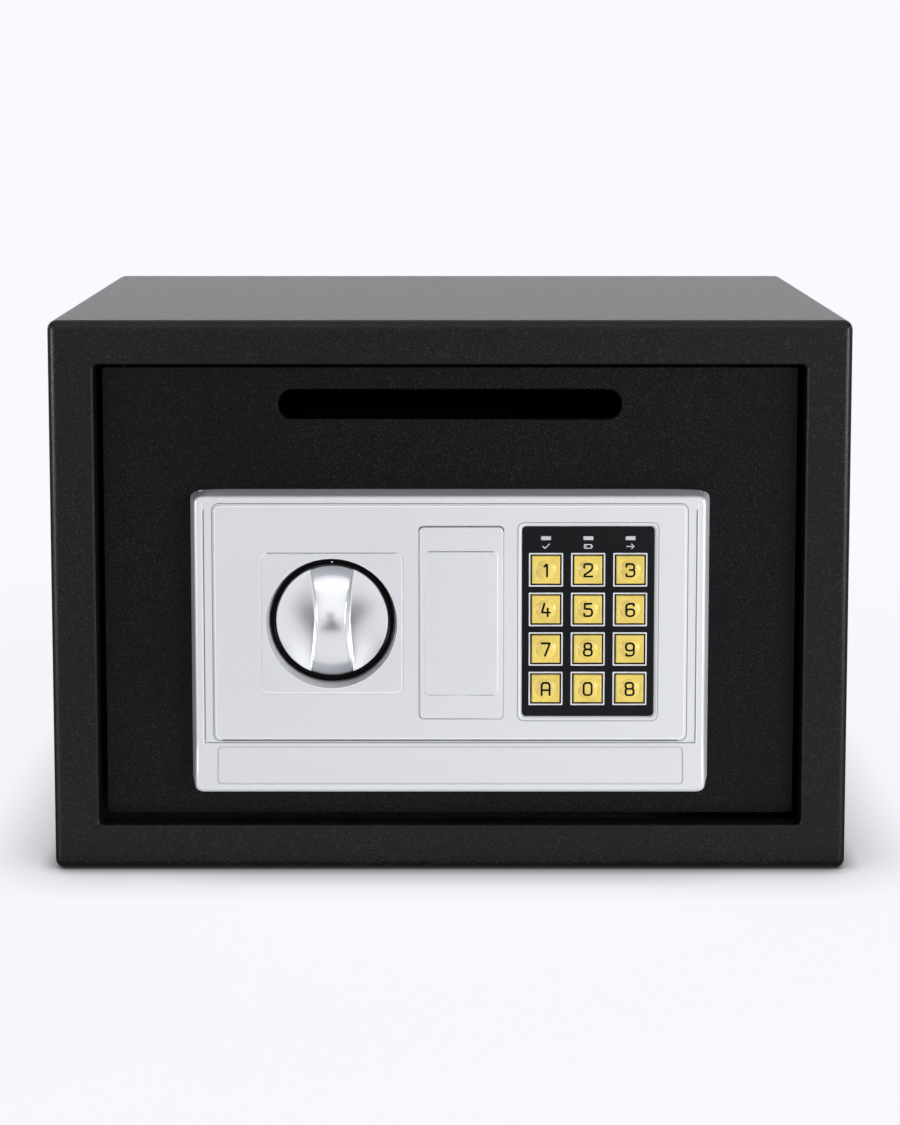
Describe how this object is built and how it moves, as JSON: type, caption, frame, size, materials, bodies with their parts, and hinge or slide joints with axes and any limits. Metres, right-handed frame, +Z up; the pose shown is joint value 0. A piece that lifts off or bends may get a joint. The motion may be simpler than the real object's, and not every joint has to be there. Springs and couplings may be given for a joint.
{
  "type": "deposit safe",
  "caption": "Small steel deposit safe with a slotted, recessed door, a turning knob, a keypad, a pull-off key cover and bolts that the knob throws.",
  "frame": {"origin": "centre of the body's base, on the surface that it stands on", "axes": "+X to the right as seen from the front, +Y to the back, +Z up; the door faces -Y"},
  "size_m": [0.35, 0.2574, 0.244],
  "materials": {
    "body_paint": "satin powder coat, fine texture, very dark grey",
    "door_paint": "satin powder coat, fine texture, near black",
    "panel_silver": "satin silver paint on moulded plastic",
    "knob_silver": "satin metallic, soft reflections",
    "black_gloss": "gloss",
    "keypad_black": "satin film",
    "key_gold": "satin, warm yellow",
    "indicator": "frosted window",
    "steel": "turned and polished",
    "zinc": "zinc plated sheet",
    "brass": "satin",
    "coil": "varnished copper wire",
    "board": "solder mask",
    "case_plastic": "fine spark texture",
    "cell": "plain sleeve",
    "button_red": "satin",
    "carpet": "needle felt"
  },
  "bodies": {
    "cabinet": {"body_shell": "body_paint", "back_panel": "body_paint", "floor_mat": "carpet", "bolt_keeper": "zinc", "hinge_bracket_upper": "body_paint", "hinge_bracket_lower": "body_paint"},
    "door": {"door_plate": "door_paint", "hinge_ear_upper": "door_paint", "hinge_ear_lower": "door_paint", "hinge_pin_upper": "steel", "hinge_pin_lower": "steel", "deposit_chute": "door_paint", "panel_housing": "panel_silver", "knob_ring": "black_gloss", "override_barrel": "brass", "keypad_plate": "keypad_black", "circuit_board": "board", "indicator_1": "indicator", "indicator_2": "indicator", "indicator_3": "indicator", "bolt_guide": "zinc", "guide_stud_1": "steel", "guide_stud_2": "steel", "solenoid_yoke": "zinc", "solenoid_coil": "coil", "lock_case": "case_plastic", "battery_tray": "case_plastic", "battery_cell_1": "cell", "battery_cell_2": "cell", "battery_cell_3": "cell", "battery_cell_4": "cell"},
    "knob": {"knob": "knob_silver", "knob_spindle": "steel", "drive_disc": "steel"},
    "bolts": {"bolt_carriage": "zinc", "bolt_lower": "steel", "bolt_upper": "steel"},
    "plunger": {"solenoid_plunger": "steel"},
    "key_cover": {"key_cover": "panel_silver"},
    "override_plug": {"override_plug": "brass", "override_arm": "steel"},
    "battery_cover": {"battery_cover": "case_plastic"},
    "reset_button": {"reset_button": "button_red"},
    "key_1": {"key_1": "key_gold"},
    "key_2": {"key_2": "key_gold"},
    "key_3": {"key_3": "key_gold"},
    "key_4": {"key_4": "key_gold"},
    "key_5": {"key_5": "key_gold"},
    "key_6": {"key_6": "key_gold"},
    "key_7": {"key_7": "key_gold"},
    "key_8": {"key_8": "key_gold"},
    "key_9": {"key_9": "key_gold"},
    "key_a": {"key_a": "key_gold"},
    "key_0": {"key_0": "key_gold"},
    "key_b": {"key_b": "key_gold"}
  },
  "joints": [
    {"name": "door_hinge", "type": "hinge", "parent": "cabinet", "child": "door", "pos_m": [0.1401, -0.1055, 0.122], "axis": [0, 0, 1], "range_deg": [0, 100]},
    {"name": "knob_turn", "type": "hinge", "parent": "door", "child": "knob", "pos_m": [-0.0518, -0.113, 0.1113], "axis": [0, -1, 0], "range_deg": [0, 90]},
    {"name": "bolt_throw", "type": "slide", "parent": "door", "child": "bolts", "axis": [-1, 0, 0], "range_m": [0, 0.01415]},
    {"name": "plunger_drop", "type": "slide", "parent": "door", "child": "plunger", "axis": [0, 0, -1], "range_m": [0, 0.005]},
    {"name": "key_cover_pull", "type": "slide", "parent": "door", "child": "key_cover", "axis": [0, -1, 0], "range_m": [0, 0.04]},
    {"name": "override_turn", "type": "hinge", "parent": "door", "child": "override_plug", "pos_m": [0.0049, -0.113, 0.1115], "axis": [0, 1, 0], "range_deg": [0, 90]},
    {"name": "battery_cover_lift", "type": "slide", "parent": "door", "child": "battery_cover", "axis": [0, 1, 0], "range_m": [0, 0.03]},
    {"name": "reset_press", "type": "slide", "parent": "door", "child": "reset_button", "axis": [0, -1, 0], "range_m": [0, 0.0015], "stiffness_N_per_m": 400},
    {"name": "key_1_press", "type": "slide", "parent": "door", "child": "key_1", "axis": [0, 1, 0], "range_m": [0, 0.0008], "stiffness_N_per_m": 400},
    {"name": "key_2_press", "type": "slide", "parent": "door", "child": "key_2", "axis": [0, 1, 0], "range_m": [0, 0.0008], "stiffness_N_per_m": 400},
    {"name": "key_3_press", "type": "slide", "parent": "door", "child": "key_3", "axis": [0, 1, 0], "range_m": [0, 0.0008], "stiffness_N_per_m": 400},
    {"name": "key_4_press", "type": "slide", "parent": "door", "child": "key_4", "axis": [0, 1, 0], "range_m": [0, 0.0008], "stiffness_N_per_m": 400},
    {"name": "key_5_press", "type": "slide", "parent": "door", "child": "key_5", "axis": [0, 1, 0], "range_m": [0, 0.0008], "stiffness_N_per_m": 400},
    {"name": "key_6_press", "type": "slide", "parent": "door", "child": "key_6", "axis": [0, 1, 0], "range_m": [0, 0.0008], "stiffness_N_per_m": 400},
    {"name": "key_7_press", "type": "slide", "parent": "door", "child": "key_7", "axis": [0, 1, 0], "range_m": [0, 0.0008], "stiffness_N_per_m": 400},
    {"name": "key_8_press", "type": "slide", "parent": "door", "child": "key_8", "axis": [0, 1, 0], "range_m": [0, 0.0008], "stiffness_N_per_m": 400},
    {"name": "key_9_press", "type": "slide", "parent": "door", "child": "key_9", "axis": [0, 1, 0], "range_m": [0, 0.0008], "stiffness_N_per_m": 400},
    {"name": "key_a_press", "type": "slide", "parent": "door", "child": "key_a", "axis": [0, 1, 0], "range_m": [0, 0.0008], "stiffness_N_per_m": 400},
    {"name": "key_0_press", "type": "slide", "parent": "door", "child": "key_0", "axis": [0, 1, 0], "range_m": [0, 0.0008], "stiffness_N_per_m": 400},
    {"name": "key_b_press", "type": "slide", "parent": "door", "child": "key_b", "axis": [0, 1, 0], "range_m": [0, 0.0008], "stiffness_N_per_m": 400}
  ],
  "couplings": [
    {"joint": "bolt_throw", "follows": "knob_turn", "m_per_rad": 0.009003}
  ]
}
